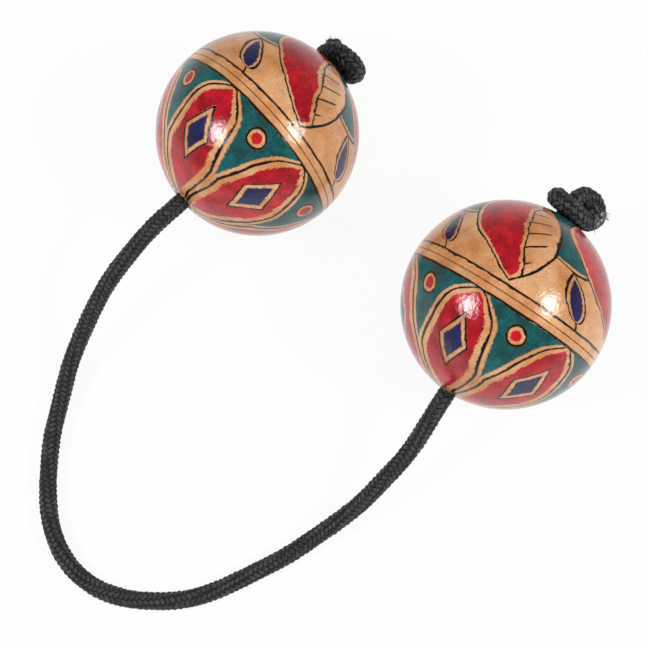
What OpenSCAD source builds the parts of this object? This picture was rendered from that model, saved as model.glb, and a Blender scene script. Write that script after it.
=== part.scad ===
// Asalato: two hollow wooden rattle balls on one cord, lying on a table.
// +Z is up, +X runs from the left ball to the right ball, and the knots point to +Y.

/* [Balls] */
// Outside diameter of each ball
ball_d = 60; // [54:0.5:66]
// Wall of the hollow halves
wall = 4; // [3.5:0.1:6]
// Distance between the centres of the two balls
spacing = 88.5; // [84:0.5:100]
// Turn of the left ball's cord axis towards +X
left_yaw = 10; // [0:1:20]
// Turn of the right ball's cord axis towards +X
right_yaw = -2; // [-10:1:10]
// Rise of the left ball's cord axis towards its knot
left_pitch = 0; // [-5:1:15]
// Rise of the right ball's cord axis towards its knot
right_pitch = 12; // [-5:1:15]

/* [Glue joint] */
// Height of the spigot on the knot half
spigot_h = 3; // [2:0.1:5]
// Room left for glue round and under the spigot
glue_gap = 0.1; // [0.05:0.01:0.2]
// Width of the fine groove that shows at the seam
seam_w = 0.4; // [0.2:0.05:0.8]

/* [Cord] */
// Thickness of the braided cord
cord_d = 5; // [4:0.1:5.5]
// Play round the cord in its holes
hole_play = 0.35; // [0.3:0.05:0.8]
// Bevel that eases the mouth of each cord hole
mouth_bevel = 0.8; // [0.4:0.1:1.5]

/* [Knots] */
// Thickness of a strand drawn tight in a knot
strand_d = 4.2; // [3.6:0.1:4.5]
// Room between neighbouring strands of a knot
strand_gap = 0.45; // [0.45:0.05:0.8]
// Turn of the left knot about its ball's axis
left_knot_turn = 100; // [0:5:355]
// Turn of the right knot about its ball's axis
right_knot_turn = 70; // [0:5:355]

/* [Seeds] */
// Diameter of one rattle seed
seed_d = 6; // [4:0.1:7]
// Seeds round the one that lies lowest
seed_ring = 6; // [6:1:9]
// Play between the seeds, and under them
seed_gap = 0.3; // [0.2:0.05:0.6]

/* [Hidden] */
$fn = 72;
sides = ["left", "right"];
seed_count = 1 + seed_ring;

ball_r = ball_d / 2;
cavity_r = ball_r - wall;
spigot_r = ball_r - wall / 2;
hole_r = cord_d / 2 + hole_play;
// The cuts reach this far past the face they open
cut = 1;

// Middle of a ball, which touches the table
function centre(side) = [(side == "left" ? -1 : 1) * spacing / 2, 0, ball_r];
function yaw(side) = side == "left" ? left_yaw : right_yaw;
function pitch(side) = side == "left" ? left_pitch : right_pitch;
// Direction of a ball's cord axis, from the cord hole to the knot
function axis(side) = [sin(yaw(side)) * cos(pitch(side)), cos(yaw(side)) * cos(pitch(side)), sin(pitch(side))];
// Where the cord leaves a ball for the loop
function cord_exit(side) = centre(side) - ball_r * axis(side);

// Way of the cord over the table, as the photograph shows it: across, along, and lift off the table
cord_way = [
    [-52, -41, 25.5], [-53.5, -50.5, 22], [-54.5, -59.5, 17.5], [-54.5, -68, 12.5], [-53.5, -77, 7.5],
    [-51.5, -86, 3.5], [-48, -95, 1], [-44, -104, 0], [-39, -112, 0], [-33, -120, 0], [-25.5, -127, 0],
    [-16.5, -131.5, 0], [-6.5, -132.5, 0], [3, -130, 0], [11.5, -125, 0], [19, -118.5, 0], [25, -110, 0],
    [29.5, -101.5, 0], [34, -92.5, 0], [37.5, -83.5, 1], [41, -74, 3.5], [43.5, -65, 7], [45, -56, 11],
    [46, -47, 15]
];
cord_sides = 12;
// The cord leaves each hole straight for one thickness
cord_lead = cord_d;
loop_route = concat(
    [cord_exit("left"), cord_exit("left") - cord_lead * axis("left")],
    [for (p = cord_way) [p.x, p.y, p.z + cord_d / 2]],
    [cord_exit("right") - cord_lead * axis("right"), cord_exit("right")]
);

// Overhand stopper knot, in strand spacings from the hole's mouth: the strand comes up out of the hole,
// bends over into a loop, passes once round behind itself and tucks through that loop
knot_way = [
    [0, 0, -0.3], [0, 0, 0], [0, 0, 0.3], [0, 0, 0.7], [-0.2, -0.2, 1.4], [0.3, 0, 2.1], [1.1, -0.3, 2.3],
    [1.8, -0.7, 1.9], [1.9, -1.1, 1.1], [1.2, -1.4, 0.4], [0.2, -1.2, 0.4], [-0.9, -0.8, 0.6], [-1.2, 0.1, 0.8],
    [-0.8, 0.8, 1.1], [0.1, 1, 1.3], [0.9, 0.5, 1.3], [1, -0.3, 1.1], [0.6, -0.9, 1.4], [1, -1.5, 1.7], [1.3, -2, 1.8]
];
knot_sides = 10;
// Rings of the strand for each step between two points of the knot
knot_steps = 3;
strand_pitch = strand_d + strand_gap;
// Stretches this close along the strand are neighbours, and never lie side by side
knot_near = 1.75 * strand_pitch;
function knot_turn(side) = side == "left" ? left_knot_turn : right_knot_turn;
// The left knot is tied the other way round
function knot_hand(side) = side == "left" ? -1 : 1;

// Point of a smooth curve drawn by four neighbouring points, at share t of its way
function curve_point(p, i, t) =
    (pow(1 - t, 3) * p[i] + (3 * pow(t, 3) - 6 * t * t + 4) * p[i + 1]
    + (-3 * pow(t, 3) + 3 * t * t + 3 * t + 1) * p[i + 2] + pow(t, 3) * p[i + 3]) / 6;
knot_spans = len(knot_way) - 3;
knot_route = strand_pitch * [
    for (k = [0:knot_spans * knot_steps])
        let (i = min(floor(k / knot_steps), knot_spans - 1))
        curve_point(knot_way, i, k / knot_steps - i)
];

function unit(v) = v / norm(v);
function travel(p) = [for (i = [0:len(p) - 1]) unit(p[min(i + 1, len(p) - 1)] - p[max(i - 1, 0)])];
function squared_to(n, t) = unit(n - (n * t) * t);
// Cross direction carried along a route without twist
function carried(t, n, i = 0) =
    i == len(t) ? [] : let (m = squared_to(n, t[i])) concat([m], carried(t, m, i + 1));
// Length of a route up to each of its points
function lengths(p, i = 0, s = 0) = i == len(p) - 1 ? [s] : concat([s], lengths(p, i + 1, s + norm(p[i + 1] - p[i])));
function route_length(p) = max(lengths(p));
// Least room between stretches of a route that aren't neighbours along it
function least_gap(p, near, d) =
    let (s = lengths(p))
    min([for (i = [0:len(p) - 1]) for (j = [i:len(p) - 1]) if (s[j] - s[i] > near) norm(p[i] - p[j])]) - d;

echo(str("free cord ", round(route_length(loop_route)), " mm, each knot takes ", round(route_length(knot_route)), " mm"));
echo(str("least gap in a knot ", least_gap(knot_route, knot_near, strand_d), " mm"));

// Round tube of thickness d along a route, with the cross directions of its rings
module tube(route, across, d, count) {
    t = travel(route);
    last = (len(route) - 1) * count;
    rings = [
        for (i = [0:len(route) - 1]) for (k = [0:count - 1])
            let (a = 360 * k / count)
            route[i] + d / 2 * (cos(a) * across[i] + sin(a) * cross(t[i], across[i]))
    ];
    walls = [
        for (i = [0:count:last - count]) for (k = [0:count - 1])
            let (n = (k + 1) % count)
            each [[i + k, i + count + k, i + count + n], [i + k, i + count + n, i + n]]
    ];
    caps = [for (k = [1:count - 2]) each [[0, k, k + 1], [last, last + k + 1, last + k]]];
    polyhedron(rings, concat(walls, caps), convexity = 8);
}

// Stands what is drawn round +Z on a ball's cord axis, with the knot at the +Z end
module on_axis(side) {
    translate(centre(side)) rotate([pitch(side) - 90, 0, -yaw(side)]) children();
}

// Hole for the cord through the pole of a half, with an eased mouth
module cord_hole() {
    mouth = sqrt(pow(ball_r, 2) - pow(hole_r + mouth_bevel, 2));
    cylinder(r = hole_r, h = ball_r + cut);
    translate([0, 0, mouth - mouth_bevel]) cylinder(r1 = hole_r, r2 = hole_r + 2 * mouth_bevel, h = 2 * mouth_bevel);
}

// Fine groove round the equator, half of it in each half of the ball
module seam_groove() {
    rotate_extrude() polygon([[ball_r - seam_w / 2, 0], [ball_r + cut, -seam_w / 2 - cut], [ball_r + cut, seam_w / 2 + cut]]);
}

// Half of the ball on the +Z side of the equator, solid
module half_ball() {
    difference() {
        sphere(r = ball_r);
        translate([0, 0, -ball_r - cut]) cylinder(r = ball_r + cut, h = ball_r + cut);
    }
}

module knot_half(side) {
    color("firebrick") on_axis(side) difference() {
        union() {
            half_ball();
            translate([0, 0, -spigot_h]) cylinder(r = spigot_r, h = spigot_h + cut);
        }
        sphere(r = cavity_r);
        cord_hole();
        seam_groove();
    }
}

module cord_half(side) {
    color("teal") on_axis(side) mirror([0, 0, 1]) difference() {
        half_ball();
        sphere(r = cavity_r);
        translate([0, 0, -cut]) cylinder(r = spigot_r + glue_gap, h = cut + spigot_h + glue_gap);
        cord_hole();
        seam_groove();
    }
}

// Cord inside a ball, from one hole's mouth to the other
module cord_run(side) {
    color("dimgray") on_axis(side) translate([0, 0, -ball_r]) cylinder(d = cord_d, h = ball_d);
}

// Free cord between the two balls, with one edge of each ring straight down
module cord_loop() {
    up = [0, 0, 1];
    color("dimgray") tube(loop_route, [for (t = travel(loop_route)) squared_to(up, t)], cord_d, cord_sides);
}

module knot(side) {
    route = [for (p = knot_route) [p.x, knot_hand(side) * p.y, p.z]];
    color("dimgray") on_axis(side) translate([0, 0, ball_r]) rotate(knot_turn(side))
        tube(route, carried(travel(route), [1, 0, 0]), strand_d, knot_sides);
}

// Seed number i: the first at the bottom of the cavity, the others in a ring round it
module seed(side, i) {
    seat_r = cavity_r - seed_d / 2 - seed_gap;
    tilt = i == 1 ? 0 : asin((seed_d + seed_gap) / (2 * sin(180 / seed_ring) * seat_r));
    color("sienna") translate(centre(side)) rotate([0, tilt, 360 * i / seed_ring]) translate([0, 0, -seat_r]) sphere(d = seed_d);
}

cord_loop();
for (s = sides) {
    cord_run(s);
    knot(s);
    cord_half(s);
    knot_half(s);
    for (i = [1:seed_count])
        seed(s, i);
}
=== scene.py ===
import math

import bpy
import numpy as np
from mathutils import Matrix


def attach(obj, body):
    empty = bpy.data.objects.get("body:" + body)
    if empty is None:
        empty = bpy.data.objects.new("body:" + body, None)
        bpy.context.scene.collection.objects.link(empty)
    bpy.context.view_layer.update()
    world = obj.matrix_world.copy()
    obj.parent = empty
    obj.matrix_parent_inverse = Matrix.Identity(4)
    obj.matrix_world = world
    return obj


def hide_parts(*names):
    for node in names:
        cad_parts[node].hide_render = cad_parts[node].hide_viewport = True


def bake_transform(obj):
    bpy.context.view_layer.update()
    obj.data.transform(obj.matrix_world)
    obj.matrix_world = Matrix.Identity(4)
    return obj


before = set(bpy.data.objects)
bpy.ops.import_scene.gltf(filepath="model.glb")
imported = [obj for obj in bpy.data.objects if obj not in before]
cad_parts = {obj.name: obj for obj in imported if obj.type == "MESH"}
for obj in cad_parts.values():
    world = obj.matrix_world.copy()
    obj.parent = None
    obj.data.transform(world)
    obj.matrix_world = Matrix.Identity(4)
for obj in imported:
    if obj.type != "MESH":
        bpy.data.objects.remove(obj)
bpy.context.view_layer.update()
scene = bpy.context.scene

# Camera: stands high over the near side of the cord's loop and some way round to the right, so that
# the balls lie along the upper right of the picture and the loop hangs to the lower left.
AZIMUTH, ELEVATION = math.radians(36.24), math.radians(75)
LOOK_AT = np.array((0.00109, -0.02874, 0.0))
CAMERA_DISTANCE = 0.450
SENSOR_WIDTH, FOCAL_LENGTH = 36.0, 81.66
CLIP_START, CLIP_END = 0.01, 20.0


def standing(right, up, back, place):
    """Matrix of a thing that stands at a place, with its own X, Y and Z to the right, up and back."""
    matrix = np.eye(4)
    matrix[:3] = np.stack((right, up, back, place), 1)
    return Matrix(matrix.tolist())


to_camera = np.array((
    math.sin(AZIMUTH) * math.cos(ELEVATION),
    -math.cos(AZIMUTH) * math.cos(ELEVATION),
    math.sin(ELEVATION)))
camera_right = np.array((math.cos(AZIMUTH), math.sin(AZIMUTH), 0.0))
camera_up = np.cross(to_camera, camera_right)
lens = bpy.data.cameras.new("photo_view")
lens.sensor_width, lens.lens = SENSOR_WIDTH, FOCAL_LENGTH
lens.clip_start, lens.clip_end = CLIP_START, CLIP_END
camera = bpy.data.objects.new("photo_view", lens)
camera.matrix_world = standing(camera_right, camera_up, to_camera, LOOK_AT + CAMERA_DISTANCE * to_camera)
scene.collection.objects.link(camera)
scene.camera = camera

# Cord: one 5 mm round braid of black nylon, sixteen yarns that go over two and under two. It is threaded
# through both balls, and this is the free stretch that the player holds, from one hole to the other.
# Its sizes are in millimetres, and each ball has its place across and its axis' yaw and pitch in degrees.
MM = 0.001
BALL_R = 30.0
CORD_R = 2.5
SIDES = {"left": (-44.25, 10.0, 0.0), "right": (44.25, -2.0, 12.0)}


def ball_place(side):
    """Middle of a ball, and the turn that stands +Z on its cord axis with the knot at the +Z end."""
    across, yaw, pitch = SIDES[side]
    tip, swing = math.radians(pitch - 90), math.radians(-yaw)
    turn = Matrix.Rotation(swing, 3, "Z") @ Matrix.Rotation(tip, 3, "X")
    return np.array((across, 0.0, BALL_R)), np.array(turn)


def smooth_curve(points, steps):
    """Cubic B-spline: a point of the curve is the mean of four neighbouring points, and their weights are
    the cubic blends of the share t of the way from the second to the third."""
    t = np.linspace(0, 1, steps, endpoint=False)[None, :, None]
    a, b, c, d = (points[i:len(points) - 3 + i, None, :] for i in range(4))
    spans = ((1 - t) ** 3 * a + (3 * t ** 3 - 6 * t ** 2 + 4) * b
             + (-3 * t ** 3 + 3 * t ** 2 + 3 * t + 1) * c + t ** 3 * d) / 6
    last = (points[-3] + 4 * points[-2] + points[-1]) / 6
    return np.vstack((spans.reshape(-1, 3), last))


def drawn_through(points):
    """Control points of the B-spline that passes through the points: the mean of each control point and
    its neighbours, weighted 4 to 1 and 1, is the point, so they come from one set of linear equations."""
    count = len(points)
    weights = (4 * np.eye(count) + np.eye(count, k=1) + np.eye(count, k=-1)) / 6
    weights[0], weights[-1] = np.eye(count)[0], np.eye(count)[-1]
    control = np.linalg.solve(weights, points)
    return np.vstack((2 * control[0] - control[1], control, 2 * control[-1] - control[-2]))


def evenly(curve, step):
    """The same curve with its points a fixed length apart: each coordinate read off at equal lengths."""
    length = np.concatenate(([0], np.cumsum(np.linalg.norm(np.diff(curve, axis=0), axis=1))))
    at = np.linspace(0, length[-1], int(round(length[-1] / step)) + 1)
    return np.stack([np.interp(at, length, curve[:, i]) for i in range(3)], 1), at


def untwisted(curve, start):
    """Directions along and across a curve. The across direction is carried from point to point, squared
    to the curve each time, so it never turns about the curve."""
    along = np.gradient(curve, axis=0)
    along /= np.linalg.norm(along, axis=1, keepdims=True)
    across = np.empty_like(along)
    carried = np.array(start, float)
    for i, t in enumerate(along):
        carried = carried - carried.dot(t) * t
        carried /= np.linalg.norm(carried)
        across[i] = carried
    return along, across


BRAID_YARNS = 16
BRAID_TURN = 12.5
BRAID_TWIST = 150.0
YARN_LIFT, YARN_ROUND, YARN_UNEVEN = 0.55, 0.65, 0.5
SCRAMBLE_SPAN, SCRAMBLE_YARN, SCRAMBLE_SINE = 12.9898, 78.233, 43758.5453


def uneven_lift(along, yarn):
    """Lift of each span of a yarn: a scrambled sine of the span's own numbers makes it uneven. A span is
    two crossings long, and the numbers are the same again after one turn round the cord."""
    span = np.floor((along + 1) / 2)
    numbers = span % (BRAID_YARNS / 2) * SCRAMBLE_SPAN + (span - yarn) * SCRAMBLE_YARN
    return YARN_LIFT * (1 + YARN_UNEVEN * (np.sin(numbers) * SCRAMBLE_SINE % 1 - 0.5))


def braid(column, row):
    """Relief of the braid, 0 in the valleys to about 1 on the crowns, and which way the top yarn leans.
    Yarns of one hand lie at whole numbers of (column - row) / 2, and of the other at (column + row) / 2.
    Each has a round back, and rises over two crossings and dips under two, in a cosine of four. The
    higher one shows, so the spans of each hand stand in rows along the cord, side by side as chevrons."""
    lean_a, lean_b = (column - row) / 2, (column + row) / 2
    yarn_a, yarn_b = np.round(lean_a), np.round(lean_b)
    along_a, along_b = yarn_a + lean_b - 0.5, lean_a + yarn_b - 0.5
    back_a = np.sqrt(np.clip(1 - (2 * (lean_a - yarn_a)) ** 2, 0, 1))
    back_b = np.sqrt(np.clip(1 - (2 * (lean_b - yarn_b)) ** 2, 0, 1))
    high_a = uneven_lift(along_a, yarn_a) * np.cos(np.pi / 2 * along_a) + YARN_ROUND * back_a
    high_b = -uneven_lift(along_b, yarn_b) * np.cos(np.pi / 2 * along_b) + YARN_ROUND * back_b
    relief = np.maximum(high_a, high_b) / (YARN_LIFT + YARN_ROUND)
    return np.maximum(relief, 0), (high_b > high_a).astype(float)


AROUND = 96
RING_STEP = 0.27
VALLEY_R, CROWN_R = 2.02, 2.70
SWAY_ROW, SWAY_COLUMN = 0.2, 0.5
SLOW_SWAY, QUICK_SWAY, QUICK_SHARE = 3.1, 1.9, 0.7
CAP_TONE = 0.5


def braided_tube(name, curve, start, girth=None, press=None):
    """Braid laid round a curve: at length s and angle a the surface stands off the curve by the valley
    radius plus the relief of the braid times the height of a crown, all times the girth at that length.
    The yarns sway a little in two slow sines. Then press moves the points that something else presses on.
    Both ends are closed."""
    curve, at = evenly(curve, RING_STEP)
    along, across = untwisted(curve, start)
    side = np.cross(along, across)
    angle = np.arange(AROUND) * 2 * np.pi / AROUND
    length = at[:, None]
    slow, quick = np.sin(2 * angle + length / SLOW_SWAY), np.sin(3 * angle - length / QUICK_SWAY)
    sway = SWAY_ROW * (slow + QUICK_SHARE * quick)
    column = (np.arange(AROUND) / AROUND + length / BRAID_TWIST) * BRAID_YARNS + sway * SWAY_COLUMN
    row = length * BRAID_YARNS / BRAID_TURN + sway
    relief, lean = braid(column, row)
    radius = VALLEY_R + relief * (CROWN_R - VALLEY_R)
    if girth is not None:
        radius = radius * girth(at, angle)
    cosine, sine = np.cos(angle)[None, :, None], np.sin(angle)[None, :, None]
    points = curve[:, None] + radius[..., None] * (cosine * across[:, None] + sine * side[:, None])
    if press is not None:
        points = press(points)
    points = points * MM
    rings, count = radius.shape
    index = np.arange(rings * count).reshape(rings, count)
    ahead = np.roll(index, -1, axis=1)
    quads = np.stack((index[:-1], ahead[:-1], ahead[1:], index[1:]), -1).reshape(-1, 4)
    first, last = rings * count, rings * count + 1
    near_cap = np.stack((np.full(count, first), ahead[0], index[0]), 1)
    far_cap = np.stack((np.full(count, last), index[-1], ahead[-1]), 1)
    mesh = bpy.data.meshes.new(name)
    vertices = np.vstack((points.reshape(-1, 3), curve[[0, -1]] * MM))
    mesh.from_pydata(vertices.tolist(), [], quads.tolist() + near_cap.tolist() + far_cap.tolist())
    mesh.polygons.foreach_set("use_smooth", np.ones(len(mesh.polygons), bool))
    grid = np.stack((column, row), -1)
    edge = np.concatenate((grid, grid[:, :1] + (BRAID_YARNS, 0)), 1)
    corners = np.stack((edge[:-1, :-1], edge[:-1, 1:], edge[1:, 1:], edge[1:, :-1]), 2).reshape(-1, 2)
    uv = np.zeros((len(mesh.loops), 2))
    uv[:len(corners)] = corners
    mesh.uv_layers.new(name="braid").data.foreach_set("uv", uv.ravel())
    for title, values in (("crown", relief), ("lean", lean)):
        layer = mesh.attributes.new(title, "FLOAT", "POINT")
        layer.data.foreach_set("value", np.append(values.ravel(), (CAP_TONE, CAP_TONE)))
    piece = bpy.data.objects.new(name, mesh)
    scene.collection.objects.link(piece)
    return piece


def plug(tree, value, socket):
    """Joins a value to a socket, or sets the socket where the value is a plain number or colour."""
    if isinstance(value, Value):
        tree.links.new(value.socket, socket)
    else:
        socket.default_value = value


class Value:
    """A number or colour at each point of a surface. Arithmetic on it adds Math nodes to its tree."""

    def __init__(self, tree, socket):
        self.tree, self.socket = tree, socket

    def math(self, operation, *others):
        node = self.tree.nodes.new("ShaderNodeMath")
        node.operation = operation
        for slot, value in enumerate((self, *others)):
            plug(self.tree, value, node.inputs[slot])
        return Value(self.tree, node.outputs[0])

    def __add__(self, other):
        return self.math("ADD", other)

    __radd__ = __add__

    def __sub__(self, other):
        return self.math("SUBTRACT", other)

    def __rsub__(self, other):
        return -self + other

    def __mul__(self, other):
        return self.math("MULTIPLY", other)

    __rmul__ = __mul__

    def __truediv__(self, other):
        return self.math("DIVIDE", other)

    def __neg__(self):
        return self * -1

    def __abs__(self):
        return self.math("ABSOLUTE")

    def sin(self):
        return self.math("SINE")

    def root(self):
        return self.math("SQRT")

    def high(self, other):
        return self.math("MAXIMUM", other)

    def ramp(self, start, end):
        """0 before start, 1 after end, and an even S between them."""
        node = self.tree.nodes.new("ShaderNodeMapRange")
        node.interpolation_type = "SMOOTHSTEP"
        plug(self.tree, self, node.inputs[0])
        plug(self.tree, start, node.inputs[1])
        plug(self.tree, end, node.inputs[2])
        return Value(self.tree, node.outputs[0])


def mixed(tree, share, under, over):
    """Colour under with colour over laid on it by a share."""
    node = tree.nodes.new("ShaderNodeMix")
    node.data_type = "RGBA"
    for slot, value in ((0, share), (6, under), (7, over)):
        plug(tree, value, node.inputs[slot])
    return Value(tree, node.outputs[2])


def noise(tree, place, scale, detail=2.0, roughness=0.5):
    """Cloudy value about 0, from -0.5 to 0.5, with lumps of one over scale."""
    node = tree.nodes.new("ShaderNodeTexNoise")
    plug(tree, place, node.inputs["Vector"])
    node.inputs["Scale"].default_value = scale
    node.inputs["Detail"].default_value = detail
    node.inputs["Roughness"].default_value = roughness
    return Value(tree, node.outputs[0]) - 0.5


def new_material(name):
    """Empty material with a Principled shader: its tree and that shader."""
    material = bpy.data.materials.new(name)
    material.use_nodes = True
    return material, material.node_tree, material.node_tree.nodes["Principled BSDF"]


def attribute(tree, name):
    node = tree.nodes.new("ShaderNodeAttribute")
    node.attribute_name = name
    return Value(tree, node.outputs["Fac"])


def coordinates(tree, name):
    return Value(tree, tree.nodes.new("ShaderNodeTexCoord").outputs[name])


def split(tree, vector):
    node = tree.nodes.new("ShaderNodeSeparateXYZ")
    plug(tree, vector, node.inputs[0])
    return [Value(tree, output) for output in node.outputs]


def bump(tree, shader, height, strength=1.0):
    """Relief of a height in millimetres on a shader's Normal."""
    node = tree.nodes.new("ShaderNodeBump")
    node.inputs["Strength"].default_value = strength
    node.inputs["Distance"].default_value = MM
    plug(tree, height, node.inputs["Height"])
    tree.links.new(node.outputs["Normal"], shader.inputs["Normal"])


def new_group(name, inputs, outputs):
    """Empty node group with its named sockets: the group, its input values and its output sockets."""
    group = bpy.data.node_groups.new(name, "ShaderNodeTree")
    for title, kind in inputs:
        group.interface.new_socket(title, in_out="INPUT", socket_type="NodeSocket" + kind)
    for title, kind in outputs:
        group.interface.new_socket(title, in_out="OUTPUT", socket_type="NodeSocket" + kind)
    entry, leave = group.nodes.new("NodeGroupInput"), group.nodes.new("NodeGroupOutput")
    return group, [Value(group, entry.outputs[i]) for i in range(len(inputs))], leave.inputs


def placed(tree, group, values):
    """A node group placed in a tree with a value for each of its inputs: the values that it puts out."""
    node = tree.nodes.new("ShaderNodeGroup")
    node.node_tree = group
    for title, value in values.items():
        plug(tree, value, node.inputs[title])
    return [Value(tree, output) for output in node.outputs]


ENDS, FILAMENTS = 2, 5


def nylon_yarn():
    """Node group of black nylon yarn: two ends side by side with fine filaments along them, with a painted
    highlight on the crowns and painted shade in the valleys between the yarns. Braid counts the yarns round
    and along the cord, and Lean says which hand is on top."""
    group, (counts, lean, crown, place, dark, bright, fuzz), outputs = new_group(
        "nylon_yarn",
        (("Braid", "Vector"), ("Lean", "Float"), ("Crown", "Float"), ("Place", "Vector"),
         ("Dark", "Color"), ("Bright", "Color"), ("Fuzz", "Float")),
        (("Color", "Color"), ("Roughness", "Float"), ("Height", "Float")))
    column, row, _ = split(group, counts)
    across = (column - row) * 0.5 * (1 - lean) + (column + row) * 0.5 * lean
    filaments = (across * (2 * math.pi * FILAMENTS) + noise(group, place, 1500) * 6).sin()
    ends = ((across - 0.25 / ENDS) * (2 * math.pi * ENDS)).sin()
    patches = noise(group, place, 260, 3.0)
    specks = noise(group, place, 1500, 3.0, 0.7)
    # The crown term paints a highlight on the crowns of the yarns and shade in the valleys between them.
    tone = crown * 0.90 + ends * 0.13 + filaments * 0.04 + patches * 0.50 + specks * fuzz
    plug(group, mixed(group, tone.ramp(0.50, 1.10), dark, bright), outputs["Color"])
    plug(group, 0.52 - specks * 0.25 - filaments * 0.06, outputs["Roughness"])
    plug(group, ends * 0.08 + filaments * 0.02 + specks * 0.06, outputs["Height"])
    return group


yarn = nylon_yarn()


def nylon(name, dark, bright, fuzz, sheen):
    """Material of a braid of that yarn, from its darkest tone, the painted shade in its valleys, and its
    brightest, the painted highlight on its crowns.
    """
    material, tree, shader = new_material(name)
    color, roughness, height = placed(tree, yarn, {
        "Braid": coordinates(tree, "UV"),
        "Lean": attribute(tree, "lean"),
        "Crown": attribute(tree, "crown"),
        "Place": coordinates(tree, "Object"),
        "Dark": dark,
        "Bright": bright,
        "Fuzz": fuzz})
    plug(tree, color, shader.inputs["Base Color"])
    plug(tree, roughness, shader.inputs["Roughness"])
    shader.inputs["IOR"].default_value = 1.53
    shader.inputs["Sheen Weight"].default_value = sheen
    shader.inputs["Sheen Roughness"].default_value = 0.4
    shader.inputs["Sheen Tint"].default_value = (0.8, 0.82, 0.86, 1)
    bump(tree, shader, height, 0.8)
    return material


cord_nylon = nylon(
    "black_nylon_braid",
    dark=(0.006, 0.006, 0.0064, 1), bright=(0.064, 0.064, 0.0665, 1), fuzz=0.45, sheen=0.05)
CURVE_STEPS = 24
HOLE_INSET = 4.0
CORD_LEAD = 5.0
CORD_WAY = np.array((
    (-52, -41, 25.5), (-53.5, -50.5, 22), (-54.5, -59.5, 17.5), (-54.5, -68, 12.5), (-53.5, -77, 7.5),
    (-51.5, -86, 3.5), (-48, -95, 1), (-44, -104, 0), (-39, -112, 0), (-33, -120, 0), (-25.5, -127, 0),
    (-16.5, -131.5, 0), (-6.5, -132.5, 0), (3, -130, 0), (11.5, -125, 0), (19, -118.5, 0), (25, -110, 0),
    (29.5, -101.5, 0), (34, -92.5, 0), (37.5, -83.5, 1), (41, -74, 3.5), (43.5, -65, 7), (45, -56, 11),
    (46, -47, 15))) + (0, 0, CORD_R)
cord_ends = {}
for side_name in SIDES:
    middle, turn = ball_place(side_name)
    steps_in = np.array((2 * HOLE_INSET, HOLE_INSET, 0, -CORD_LEAD))[:, None]
    cord_ends[side_name] = middle - (BALL_R - steps_in) * turn[:, 2]
cord_points = np.vstack((cord_ends["left"][1:], CORD_WAY, cord_ends["right"][:0:-1]))
cord_curve = smooth_curve(drawn_through(cord_points), CURVE_STEPS)
free_cord = braided_tube("free_cord", cord_curve, (0, 0, 1))
free_cord.data.materials.append(cord_nylon)

# Knots: an overhand knot in each end of the same cord, drawn down tight against its ball so that it can't
# slip through the hole. The left one's cut tip is singed, with a few filaments out of it, and the right
# one's is frayed to a brush. Each knot's way is in strand pitches from the mouth of its hole.
STRAND_PITCH = 4.65
KNOT_FLAT = 0.80
KNOTS = {
    "left": {
        "hand": -1, "turned": 100, "body": "cord", "tip": 0.35,
        "hairs": 90, "hair": (0.3, 1.0), "bent": 0.2, "draw": 6,
        "way": (
            (0, 0, -0.3), (0, 0, 0), (0, 0, 0.3), (0, 0, 0.7), (-0.2, 0, 1.4), (0.3, 0.2, 1.8),
            (1.1, -0.05, 1.95), (1.8, -0.45, 1.7), (1.9, -0.85, 1.1), (1.2, -1.15, 0.6),
            (0.2, -1.05, 0.85), (-0.9, -0.6, 1.05), (-1.2, 0.4, 1.18), (-0.8, 1.15, 1.33),
            (0.1, 1.35, 1.23), (0.9, 0.85, 1.1), (1, -0.05, 1.05), (0.7, -0.8, 1.45),
            (0.9, -1.5, 2.2), (0.9, -1.8, 2.8))},
    "right": {
        "hand": 1, "turned": 70, "body": "right_cord_end", "tip": 0.6,
        "hairs": 420, "hair": (0.7, 1.7), "bent": 0.3, "draw": 8,
        "way": (
            (0, 0, -0.3), (0, 0, 0), (0, 0, 0.3), (0, 0, 0.7), (-0.2, -0.2, 1.4), (0.3, 0, 2.1),
            (1.1, -0.3, 2.65), (1.8, -0.75, 2.4), (1.9, -1.15, 1.7), (1.2, -1.2, 0.9),
            (0.2, -1.15, 0.55), (-0.9, -0.8, 0.6), (-1.2, 0.1, 0.8), (-0.8, 0.8, 1),
            (0.1, 1, 1.15), (0.9, 0.5, 1.2), (1, -0.3, 1.1), (0.6, -0.9, 1.5),
            (0.95, -1.65, 1.4), (1.35, -2.05, 1.15))}}
IN_BALL_POINTS = 12
SLIM, BULGE, BULGE_LENGTH = 0.93, 0.17, 6.0
TIP_LENGTH, TIP_LUMPS = 2.2, 0.10


def knot_girth(at, angle, tip):
    """Share of the cord's radius along a knotted end: slim in the ball, then with a bulge where it is tied,
    and a lumpy quarter circle from there to the tip's own share of it over the cut end."""
    in_ball = 2 * BALL_R - HOLE_INSET
    bulge = SLIM + BULGE * np.clip((at - in_ball) / BULGE_LENGTH, 0, 1)[:, None]
    near = np.clip((at[-1] - at) / TIP_LENGTH, 0, 1)[:, None]
    lumps = 1 + TIP_LUMPS * (1 - near) * (np.sin(3 * angle + 5 * near) + np.sin(5 * angle - 3))
    return bulge * (tip + (1 - tip) * np.sqrt(1 - (1 - near) ** 2)) * lumps


HAIR_STEPS = 6
HAIR_DISC, HAIR_SUNK = 2.1, 0.9
HAIR_LEAN, HAIR_SPREAD, HAIR_CURL = 0.8, 0.22, 0.4
HAIR_R, HAIR_TAPER = 0.19, 0.6
ASIDE = (0.31, 0.52, 0.79)


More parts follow.
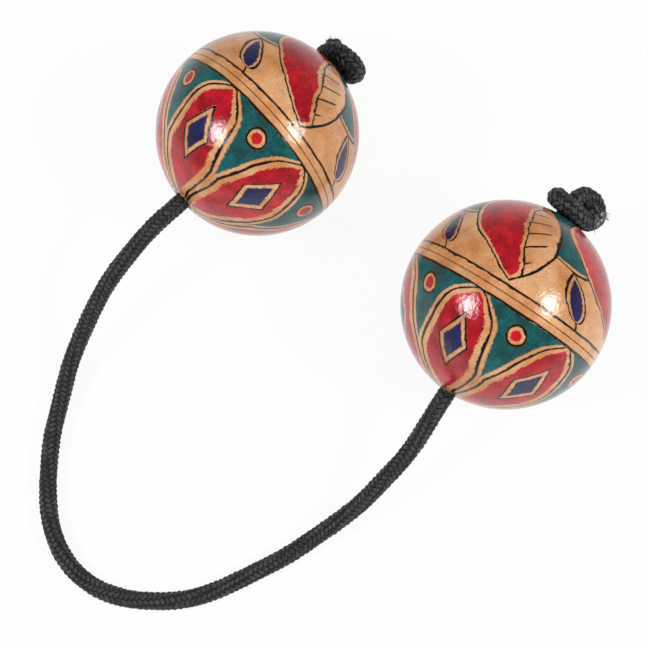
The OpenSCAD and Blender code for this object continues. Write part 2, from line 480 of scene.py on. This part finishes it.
def frayed_tip(name, tip, way, bent, count, hair, seed):
    """Loose filaments at a cut end: each is a thin three-sided spike that starts on a small disc round the
    tip, leans away from the middle, and bends as the square of its length the way that bent points."""
    draw = np.random.default_rng(seed)
    across = np.cross(way, ASIDE)
    across /= np.linalg.norm(across)
    side = np.cross(way, across)
    turn, reach = draw.uniform(0, 2 * np.pi, count), np.sqrt(draw.uniform(0, 1, count))
    out = np.cos(turn)[:, None] * across + np.sin(turn)[:, None] * side
    length = draw.uniform(*hair, count)
    share = np.linspace(0, 1, HAIR_STEPS)[None, :, None]
    root = tip + out * (reach * HAIR_DISC)[:, None] - way * HAIR_SUNK
    lean = way + out * (reach * HAIR_LEAN)[:, None] + draw.normal(0, HAIR_SPREAD, (count, 3))
    curl = draw.normal(0, HAIR_CURL, (count, 3)) + bent
    spine = root[:, None] + (lean[:, None] * share + curl[:, None] * share ** 2) * length[:, None, None]
    corner = np.arange(3) * 2 * np.pi / 3
    ring = np.cos(corner)[:, None] * across + np.sin(corner)[:, None] * side
    thick = HAIR_R * (1 - HAIR_TAPER * share)
    points = (spine[:, :, None] + thick[..., None] * ring) * MM
    index = np.arange(count * HAIR_STEPS * 3).reshape(count, HAIR_STEPS, 3)
    ahead = np.roll(index, -1, axis=2)
    quads = np.stack((index[:, :-1], ahead[:, :-1], ahead[:, 1:], index[:, 1:]), -1).reshape(-1, 4)
    ends = np.vstack((index[:, 0, ::-1], index[:, -1]))
    mesh = bpy.data.meshes.new(name)
    mesh.from_pydata(points.reshape(-1, 3).tolist(), [], quads.tolist() + ends.tolist())
    piece = bpy.data.objects.new(name, mesh)
    scene.collection.objects.link(piece)
    return piece


MOUTH_R = 3.4
SEATED = 0.05


def against_ball(points, middle, axis):
    """Points of a knot that would sink into its ball lie on it instead, moved out along its radius."""
    from_middle = points - middle
    reach = np.linalg.norm(from_middle, axis=-1, keepdims=True)
    on_axis = (from_middle @ axis)[..., None]
    off_axis = np.sqrt(np.maximum(reach ** 2 - on_axis ** 2, 0))
    sunk = (off_axis > MOUTH_R) & (on_axis > 0) & (reach < BALL_R + SEATED)
    return np.where(sunk, middle + from_middle * (BALL_R + SEATED) / reach, points)


# The knot's darkest tone, lower than the free cord's, paints deeper shade into its valleys and creases.
knot_nylon = nylon(
    "black_nylon_knot",
    dark=(0.0012, 0.0012, 0.0015, 1), bright=(0.084, 0.083, 0.087, 1), fuzz=1.5, sheen=0.02)
# Loose filaments mix a dark tone with a pale one at random, and the pale tone is a painted glint of light on
# them.
HAIR_DARK, HAIR_PAINTED_GLINT = (0.012, 0.012, 0.013, 1), (0.55, 0.55, 0.555, 1)
loose_nylon, loose_tree, loose_shader = new_material("loose_nylon_filament")
loose_shade = noise(loose_tree, coordinates(loose_tree, "Object"), 900.0)
loose_color = mixed(loose_tree, loose_shade.ramp(-0.12, 0.16), HAIR_DARK, HAIR_PAINTED_GLINT)
plug(loose_tree, loose_color, loose_shader.inputs["Base Color"])
plug(loose_tree, 0.45 + loose_shade * 0.3, loose_shader.inputs["Roughness"])
for side_name, tied in KNOTS.items():
    middle, turn = ball_place(side_name)
    axis = turn[:, 2]
    inside = np.linspace(HOLE_INSET - BALL_R, BALL_R - STRAND_PITCH, IN_BALL_POINTS)[:, None] * (0, 0, 1)
    spin = np.array(Matrix.Rotation(math.radians(tied["turned"]), 3, "Z"))
    knot_way = np.array(tied["way"]) * (1, tied["hand"], KNOT_FLAT)
    outside = knot_way @ spin.T * STRAND_PITCH + (0, 0, BALL_R)
    strand = smooth_curve(np.vstack((inside, outside)), CURVE_STEPS) @ turn.T + middle
    knot = braided_tube(side_name + "_stopper_knot", strand, turn[:, 0],
                        lambda at, angle: knot_girth(at, angle, tied["tip"]),
                        lambda points: against_ball(points, middle, axis))
    knot.data.materials.append(knot_nylon)
    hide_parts(side_name + "_knot", side_name + "_cord_run")
    leaving = strand[-1] - strand[-3]
    leaving /= np.linalg.norm(leaving)
    fray = frayed_tip(side_name + "_frayed_tip", strand[-1], leaving, -axis * tied["bent"],
                      tied["hairs"], tied["hair"], tied["draw"])
    fray.data.materials.append(loose_nylon)
    for piece in (knot, fray):
        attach(piece, tied["body"])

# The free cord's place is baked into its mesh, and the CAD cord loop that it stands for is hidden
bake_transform(free_cord)
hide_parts("cord_loop")

# Balls: two hollow halves turned from a pale wood and glued at the equator. They are dyed by hand inside
# burnt outlines, in red, green, blue and bare wood, and finished with a thick clear lacquer.
BARE_WOOD = (0.56, 0.215, 0.065, 1)
PALE_WOOD = (0.74, 0.40, 0.20, 1)
RED_DYE = (0.29, 0.006, 0.014, 1), (0.56, 0.013, 0.023, 1)
GREEN_DYE = (0.013, 0.053, 0.050, 1), (0.010, 0.118, 0.122, 1)
BLUE_DYE = (0.014, 0.012, 0.042, 1), (0.022, 0.020, 0.105, 1)
BURNT = (0.010, 0.007, 0.006, 1)
SCORCHED = (0.13, 0.045, 0.015, 1)


class Painting:
    """Dyes laid one over another on bare wood, inside burnt lines. Each is drawn from a distance in
    millimetres, which is below zero inside its shape."""

    def __init__(self, tree, bare, wash, ragged, pen):
        self.tree, self.bare, self.wash, self.ragged, self.pen = tree, bare, wash, ragged, pen
        self.color, self.dyed, self.burnt = bare, None, None

    def line(self, distance, where, share=1.0):
        """Burnt line along distance zero, as wide as a share of the pen, fading out from its middle."""
        mask = (abs(distance) - self.pen * share).ramp(0.40, -0.30) * where
        self.burnt = mask if self.burnt is None else self.burnt.high(mask)

    def dye(self, distance, tones, where, gap=0.0):
        """Two tones of a dye up to a gap inside the shape, with the ragged edge of a brush."""
        mask = (distance + gap + self.ragged * 1.1).ramp(0.2, -0.2) * where
        self.color = mixed(self.tree, mask, self.color, mixed(self.tree, self.wash, *tones))
        self.dyed = mask if self.dyed is None else self.dyed.high(mask)

    def strip(self, distance, where):
        """Bare wood again."""
        self.color = mixed(self.tree, distance.ramp(0.2, 0.0) * where, self.color, self.bare)


STRIPE = 2.3
PETALS, LEAVES = 6, 4
PETAL_AT, PETAL_HALF, PETAL_WEDGE = 23.0, (9.2, 21.0), 2.7
LOZENGE_AT, LOZENGE_HALF = 19.0, (5.0, 9.0)
BERRY_AT, BERRY_R = 7.8, 2.9
LEAF_AT, LEAF_HALF, LEAF_SLANT = 21.5, (14.5, 18.0), 0.013
RIB_AT, VEIN_PITCH = 4.2, (0.22, 0.14)
FESTOON_AT, FESTOON_SAG = 16.0, 0.03
DROP_AT, DROP_HALF = 10.2, (3.6, 5.8)
RIM_R, JOINT_HALF = 4.6, 0.14


def painted_wood():
    """Node group of a painted, lacquered ball, over its latitude and longitude about the cord axis in
    millimetres. Cord side: a rosette of petals round the hole. Knot side: slanting leaves, festoons and
    drops."""
    group, (ball, turned), outputs = new_group(
        "painted_wood", (("Ball", "Vector"), ("Turn", "Float")),
        (("Color", "Color"), ("Roughness", "Float"), ("Height", "Float")))
    x, y, z = split(group, ball)
    ring = (x * x + y * y).root()
    turns = y.math("ARCTAN2", x) / (2 * math.pi) + turned
    slow, slower, quick = noise(group, ball, 4.2), noise(group, ball, 2.3, 1.0), noise(group, ball, 26.0)
    ragged = noise(group, ball, 48.0, 3.0, 0.7)
    level = z.math("ARCTAN2", ring) * BALL_R + slow * 1.1 + quick * 0.5
    sway = slower * 3.0 + quick * 0.6
    pen = 0.24 + slow * 0.5 + quick * 0.35
    streaks = group.nodes.new("ShaderNodeCombineXYZ")
    plug(group, turns * 260, streaks.inputs[0])
    plug(group, level * 0.35, streaks.inputs[1])
    fringe = noise(group, Value(group, streaks.outputs[0]), 1.0, 1.0) * 3.0
    wash = (noise(group, ball, 3.4, 4.0, 0.6) + ragged * 0.35).ramp(-0.22, 0.22)
    bare = mixed(group, noise(group, ball, 3.0, 4.0).ramp(-0.20, 0.20), BARE_WOOD, PALE_WOOD)
    paint = Painting(group, bare, wash, ragged, pen)

    def cells(count, lean=0.0):
        """Equal cells round the ball: millimetres across from the middle of a cell."""
        at = turns * count + lean
        return (at.math("FRACT") - 0.5) * ring * (2 * math.pi * BALL_R / count) + sway

    def leaf_shape(across, along, middle, half, blunt=1):
        """Pointed leaf: its half width is one less the square of the way from its middle to a tip. The
        square is raised to blunt where the leaf has blunt tips."""
        way = (along - middle) / half[1]
        return abs(across) - (1 - (way * way).math("POWER", blunt)) * half[0]

    def drop_shape(across, along, middle, half):
        """Tear drop: its half width is the root of the way from its round end, times the way to its
        point."""
        way = (along - middle) / half[1]
        return abs(across) - (1 + way).high(0.0).root() * (1 - way) * half[0]

    knot_side, cord_side = z.ramp(-0.004, 0.004), z.ramp(0.004, -0.004)
    # Cord side: red petals round the hole, each with a blue lozenge, and green with a berry between
    down = -level
    in_rosette = cord_side * down.ramp(STRIPE - 0.2, STRIPE + 0.2)
    across = cells(PETALS)
    beside = cells(PETALS, 0.5)
    wedge = abs(across) - ring * (PETAL_WEDGE * BALL_R / PETALS)
    petal = leaf_shape(across, down, PETAL_AT, PETAL_HALF, blunt=2).high(wedge) * 0.8
    in_petal = petal.ramp(0.1, -0.1) * in_rosette
    between = in_rosette * (1 - in_petal)
    below = down - BERRY_AT
    berry = (beside * beside + below * below).root() - BERRY_R + slow * 1.2
    lozenge = (abs(across) / LOZENGE_HALF[0] + abs(down - LOZENGE_AT) / LOZENGE_HALF[1] - 1) * 4.4
    paint.dye(1.3 - petal, GREEN_DYE, between)
    paint.strip(berry, between)
    paint.dye(berry, RED_DYE, between, gap=1.2)
    paint.line(berry, between, share=0.9)
    paint.dye(petal + fringe * 0.4, RED_DYE, in_petal, gap=1.7)
    paint.strip(lozenge, in_petal)
    paint.dye(lozenge, BLUE_DYE, in_petal, gap=1.4)
    paint.line(lozenge, in_petal, share=0.8)
    paint.line(petal, in_rosette)
    paint.line(down - STRIPE, cord_side)
    # Knot side: leaves on bare wood, a green festoon between each two, and a drop under it
    above = knot_side * level.ramp(STRIPE - 0.2, STRIPE + 0.2)
    slant = level * LEAF_SLANT
    across = cells(LEAVES, slant)
    beside = cells(LEAVES, slant + 0.5)
    leaf = leaf_shape(across, level, LEAF_AT, LEAF_HALF) * 0.72
    in_leaf = leaf.ramp(0.1, -0.1) * above
    between = above * (1 - in_leaf)
    rib = across + sway * 0.6 - RIB_AT
    drop = drop_shape(beside, level, DROP_AT, DROP_HALF) * 0.8
    festoon = FESTOON_AT + beside * beside * FESTOON_SAG - level
    paint.dye(festoon, GREEN_DYE, between, gap=1.1)
    paint.line(festoon, between, share=0.9)
    paint.dye(drop, BLUE_DYE, between, gap=1.0)
    paint.line(drop, between)
    paint.strip(leaf, above)
    paint.dye(leaf.high(rib + 0.2) + fringe * 0.4, RED_DYE, above, gap=1.2)
    paint.line(leaf, above)
    paint.line(rib, in_leaf, share=0.9)
    vein = ((level * VEIN_PITCH[0] - across * VEIN_PITCH[1]).math("FRACT") - 0.5) * 4.4
    in_veins = in_leaf * rib.ramp(-0.1, 0.1) * (leaf + 2.2).ramp(0.4, -0.4)
    paint.line(vein, in_veins, share=0.65)
    paint.line(level - STRIPE, knot_side, share=0.9)
    # Bare rims round the cord holes, the fine joint of the halves, and the scorched lines over all of it
    rim = ring * BALL_R - RIM_R + quick * 0.6
    paint.line(rim - 0.6, 1.0, share=0.7)
    joint = (abs(z) * BALL_R - JOINT_HALF + quick * 0.25).ramp(0.12, -0.06)
    burnt = paint.burnt.ramp(0.40, 0.62)
    color = mixed(group, rim.ramp(0.2, -0.2), paint.color, PALE_WOOD)
    color = mixed(group, joint * 0.75, color, SCORCHED)
    color = mixed(group, paint.burnt.ramp(0.05, 0.5) * 0.7, color, SCORCHED)
    color = mixed(group, burnt, color, BURNT)
    # Grain, pores and specks in the wood, and the orange peel of the lacquer
    specks, cloud = noise(group, ball, 95.0, 3.0, 0.7), noise(group, ball, 22.0, 3.0, 0.6)
    pores = noise(group, ball, 62.0, 1.0).ramp(0.17, 0.24) * (1 - paint.dyed * 0.6)
    grain = noise(group, ball, 7.0, 4.0, 0.6) * 0.5 + cloud * (paint.dyed * 0.8 + 0.2) + specks * 1.4
    toned = group.nodes.new("ShaderNodeHueSaturation")
    plug(group, color, toned.inputs["Color"])
    plug(group, ((grain + 0.5).ramp(0.0, 1.0) - pores * 0.35) * 0.8 + 0.6, toned.inputs["Value"])
    peel = noise(group, ball, 32.0)
    plug(group, Value(group, toned.outputs[0]), outputs["Color"])
    plug(group, 0.09 + specks * 0.10, outputs["Roughness"])
    plug(group, paint.dyed * 0.008 - burnt * 0.02 + peel * 0.085 + specks * 0.020, outputs["Height"])
    return group


painted = painted_wood()


def lacquered_ball(side, turned):
    """Material of one ball: the painted wood set on the ball's middle and cord axis, and turned about it."""
    material, tree, shader = new_material(side + "_painted_wood")
    across, yaw, pitch = SIDES[side]
    place = tree.nodes.new("ShaderNodeMapping")
    place.vector_type = "TEXTURE"
    place.inputs["Location"].default_value = (across * MM, 0, BALL_R * MM)
    place.inputs["Rotation"].default_value = (math.radians(pitch - 90), 0, math.radians(-yaw))
    place.inputs["Scale"].default_value = (BALL_R * MM,) * 3
    plug(tree, coordinates(tree, "Object"), place.inputs["Vector"])
    ball = Value(tree, place.outputs[0])
    color, roughness, height = placed(tree, painted, {"Ball": ball, "Turn": turned})
    plug(tree, color, shader.inputs["Base Color"])
    plug(tree, roughness, shader.inputs["Roughness"])
    shader.inputs["IOR"].default_value = 1.55
    bump(tree, shader, height)
    return material


DESIGN_TURNED = {"left": 0.03, "right": 0.37}
for side_name, turned in DESIGN_TURNED.items():
    wood = lacquered_ball(side_name, turned)
    for half in ("cord", "knot"):
        half_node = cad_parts[f"{side_name}_ball_{half}_half"]
        half_node.data.materials.clear()
        half_node.data.materials.append(wood)

# Seeds: hard round dried seeds, seven loose in each ball, that make the rattle. They are brown and a
# little shiny, with darker and smoother patches.
SEED_DARK, SEED_BROWN = (0.05, 0.018, 0.008, 1), (0.22, 0.10, 0.04, 1)
seed_skin, seed_tree, seed_shader = new_material("dried_seed_skin")
seed_place = coordinates(seed_tree, "Object")
patches = noise(seed_tree, seed_place, 700.0, 4.0)
seed_color = mixed(seed_tree, patches.ramp(-0.2, 0.2), SEED_DARK, SEED_BROWN)
plug(seed_tree, seed_color, seed_shader.inputs["Base Color"])
plug(seed_tree, 0.42 + patches * 0.3, seed_shader.inputs["Roughness"])
bump(seed_tree, seed_shader, patches * 0.08)
for node_name, seed_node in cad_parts.items():
    if "_seed_" in node_name:
        seed_node.data.materials.clear()
        seed_node.data.materials.append(seed_skin)

# Studio: a white table that keeps the soft shadow, in a dim room, with two softboxes left and right of
# the camera, which give each ball its two highlights. In reflections the table glows white round the
# balls, a painted pool of light that fades away from them.
FLOOR_HALF = 3.0
FLOOR_DROP = 0.0004
floor_mesh = bpy.data.meshes.new("table")
floor_mesh.from_pydata(
    [(x * FLOOR_HALF, y * FLOOR_HALF, -FLOOR_DROP) for x, y in ((-1, -1), (1, -1), (1, 1), (-1, 1))],
    [], [(0, 1, 2, 3)])
floor = bpy.data.objects.new("table", floor_mesh)
scene.collection.objects.link(floor)


def seen_white(tree, fading, light=0.0):
    """White to the camera, white times a fading value to reflections and to what glass shows, and the
    light that falls on things."""
    path = tree.nodes.new("ShaderNodeLightPath")
    camera_ray, glossy_ray, through_ray = (
        Value(tree, path.outputs[f"Is {kind} Ray"]) for kind in ("Camera", "Glossy", "Transmission"))
    return camera_ray.high(glossy_ray.high(through_ray) * (fading - light) + light)


TABLE_WHITE, TABLE_PAINT = 0.92, (0.9, 0.9, 0.9, 1)
PURE_WHITE = (1, 1, 1, 1)
LIT_NEAR, LIT_FAR = 0.055, 0.15
table, table_tree, table_shader = new_material("white_table")
table_shader.inputs["Base Color"].default_value = TABLE_PAINT
table_shader.inputs["Roughness"].default_value = 0.9
table_shader.inputs["Specular IOR Level"].default_value = 0.1
table_x, table_y, _ = split(table_tree, coordinates(table_tree, "Object"))
# Painted pool of light: reflections see the table glow white near the balls, fading out beyond them.
past_balls = (abs(table_x) - SIDES["right"][0] * MM).high(0.0)
off_balls = (past_balls * past_balls + table_y * table_y).root()
white = table_tree.nodes.new("ShaderNodeEmission")
white.inputs["Color"].default_value = PURE_WHITE
blend = table_tree.nodes.new("ShaderNodeMixShader")
plug(table_tree, seen_white(table_tree, off_balls.ramp(LIT_FAR, LIT_NEAR)) * TABLE_WHITE, blend.inputs[0])
table_tree.links.new(table_shader.outputs[0], blend.inputs[1])
table_tree.links.new(white.outputs[0], blend.inputs[2])
table_tree.links.new(blend.outputs[0], table_tree.nodes["Material Output"].inputs["Surface"])
floor.data.materials.append(table)

ROOM_LIGHT, WALLS, CEILING = 0.40, 0.35, 0.08
world = bpy.data.worlds.new("dim_room")
world.use_nodes = True
scene.world = world
sky = world.node_tree
room = sky.nodes["Background"]
room.inputs["Color"].default_value = PURE_WHITE
_, _, room_height = split(sky, coordinates(sky, "Generated"))
room_seen = room_height.ramp(0.5, 0.0) * (WALLS - CEILING) + CEILING
plug(sky, seen_white(sky, room_seen, ROOM_LIGHT), room.inputs["Strength"])

SOFTBOX_TURN = math.radians(42)
SOFTBOX_DISTANCE = 0.8
SOFTBOX_WIDE, SOFTBOX_HIGH, SOFTBOX_POWER = 0.17, 0.225, 3.0
for title, way in (("softbox_left", -1), ("softbox_right", 1)):
    aim = math.cos(SOFTBOX_TURN) * to_camera + way * math.sin(SOFTBOX_TURN) * camera_right
    across = np.cross(camera_up, aim)
    across /= np.linalg.norm(across)
    lamp = bpy.data.lights.new(title, "AREA")
    lamp.shape, lamp.size, lamp.size_y = "RECTANGLE", SOFTBOX_WIDE, SOFTBOX_HIGH
    lamp.energy = SOFTBOX_POWER
    softbox = bpy.data.objects.new(title, lamp)
    softbox.matrix_world = standing(across, np.cross(aim, across), aim, LOOK_AT + SOFTBOX_DISTANCE * aim)
    scene.collection.objects.link(softbox)

scene.view_settings.view_transform = "Standard"
